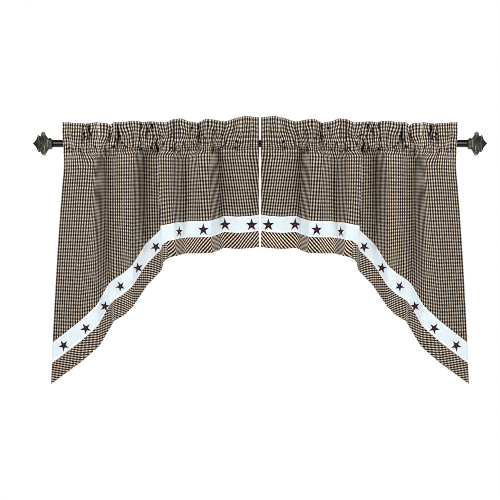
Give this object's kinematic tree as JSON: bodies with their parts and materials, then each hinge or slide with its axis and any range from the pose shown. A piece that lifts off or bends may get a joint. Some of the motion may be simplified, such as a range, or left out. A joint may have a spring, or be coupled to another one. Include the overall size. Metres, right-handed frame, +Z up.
{
  "type": "swag window valance panels on a curtain rod",
  "caption": "Gathered swag window valance panels in dark check cloth with a star band and a bias-cut border, hung on a curtain rod with square pointed finials.",
  "frame": {"origin": "on the rod's axis, midway between the panels", "axes": "+X along the rod to the right of someone facing the window, +Y towards the window, +Z up"},
  "size_m": [1.5786, 0.0815, 0.9321],
  "materials": {
    "checked_cotton": "matte woven check",
    "bias_checked_cotton": "matte woven check cut on the bias",
    "star_band_cotton": "matte plain weave with embroidered stars",
    "dark_bronze_rod": "satin dark bronze paint",
    "pewter_finial": "satin pewter paint"
  },
  "bodies": {
    "root": {"rod": "dark_bronze_rod", "finial_collar_left": "pewter_finial", "finial_cap_left": "pewter_finial", "cloth_left": "checked_cotton", "star_band_level_left": "star_band_cotton", "star_band_slanted_left": "star_band_cotton", "bias_border_level_left": "bias_checked_cotton", "bias_border_slanted_left": "bias_checked_cotton", "finial_collar_right": "pewter_finial", "finial_cap_right": "pewter_finial", "cloth_right": "checked_cotton", "star_band_level_right": "star_band_cotton", "star_band_slanted_right": "star_band_cotton", "bias_border_level_right": "bias_checked_cotton", "bias_border_slanted_right": "bias_checked_cotton"}
  },
  "joints": []
}
